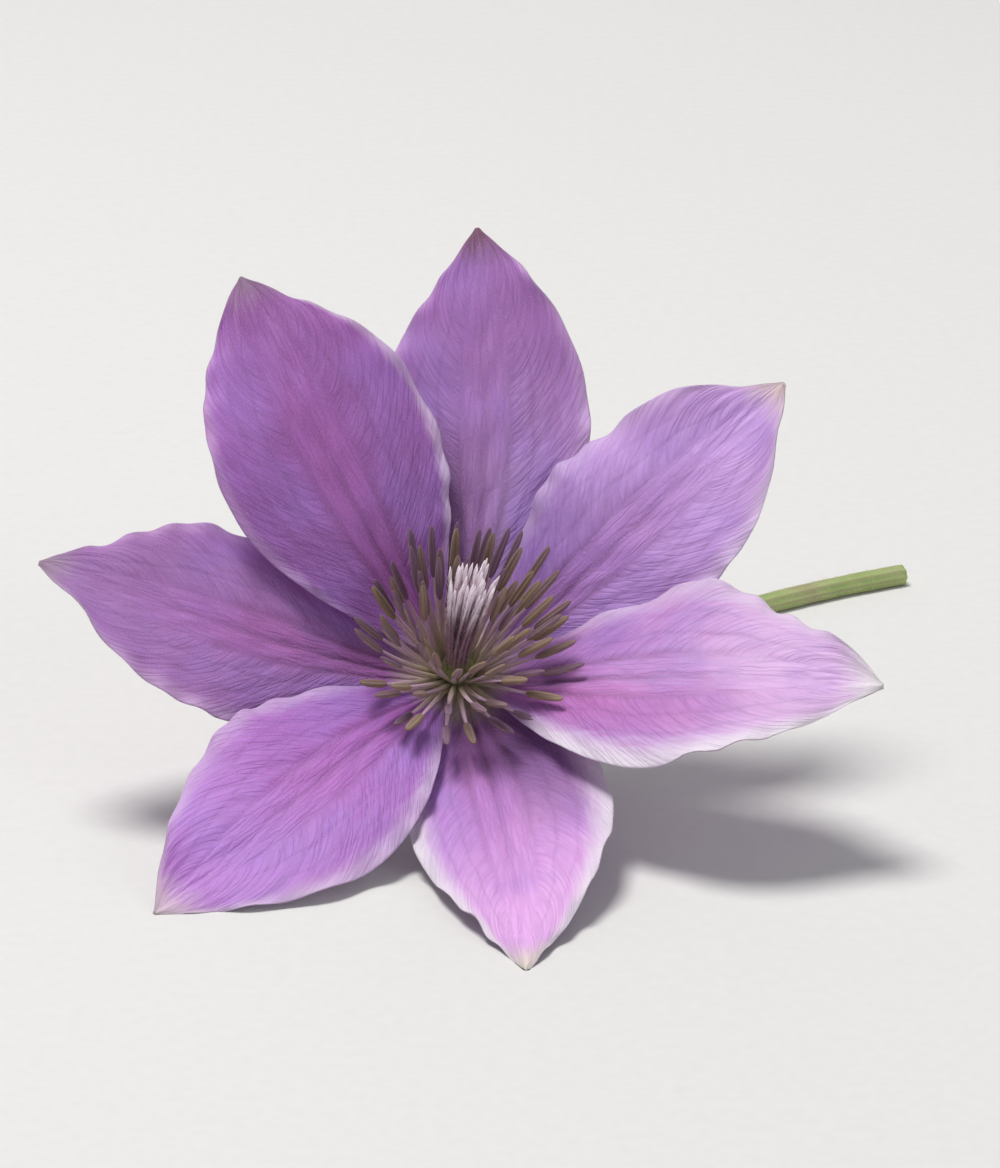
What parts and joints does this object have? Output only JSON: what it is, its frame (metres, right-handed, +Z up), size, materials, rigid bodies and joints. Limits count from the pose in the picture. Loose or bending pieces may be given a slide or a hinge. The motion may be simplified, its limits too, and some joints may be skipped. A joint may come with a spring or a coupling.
{
  "type": "clematis flower",
  "caption": "Open clematis bloom with pointed, waved tepals round a brush of stamens and a tuft of styles, picked with its bare stalk and lying on a surface.",
  "frame": {"origin": "on the surface that the flower lies on, under the middle of its bounding box", "axes": "+Z up; the bloom faces -Y and up, and its stalk runs back towards +Y and +X"},
  "size_m": [0.0922, 0.0992, 0.0525],
  "materials": {
    "tepal": "satin, mauve violet, paler at the edges",
    "stamen": "matte, brownish purple anthers on pale filaments",
    "style": "silky, pale pinkish white",
    "stalk": "matte, pale green with a purplish tinge"
  },
  "bodies": {
    "root": {"stalk": "stalk", "tepal_1": "tepal", "tepal_2": "tepal", "tepal_3": "tepal", "tepal_4": "tepal", "tepal_5": "tepal", "tepal_6": "tepal", "tepal_7": "tepal", "stamens": "stamen", "pistils": "style"}
  },
  "joints": []
}
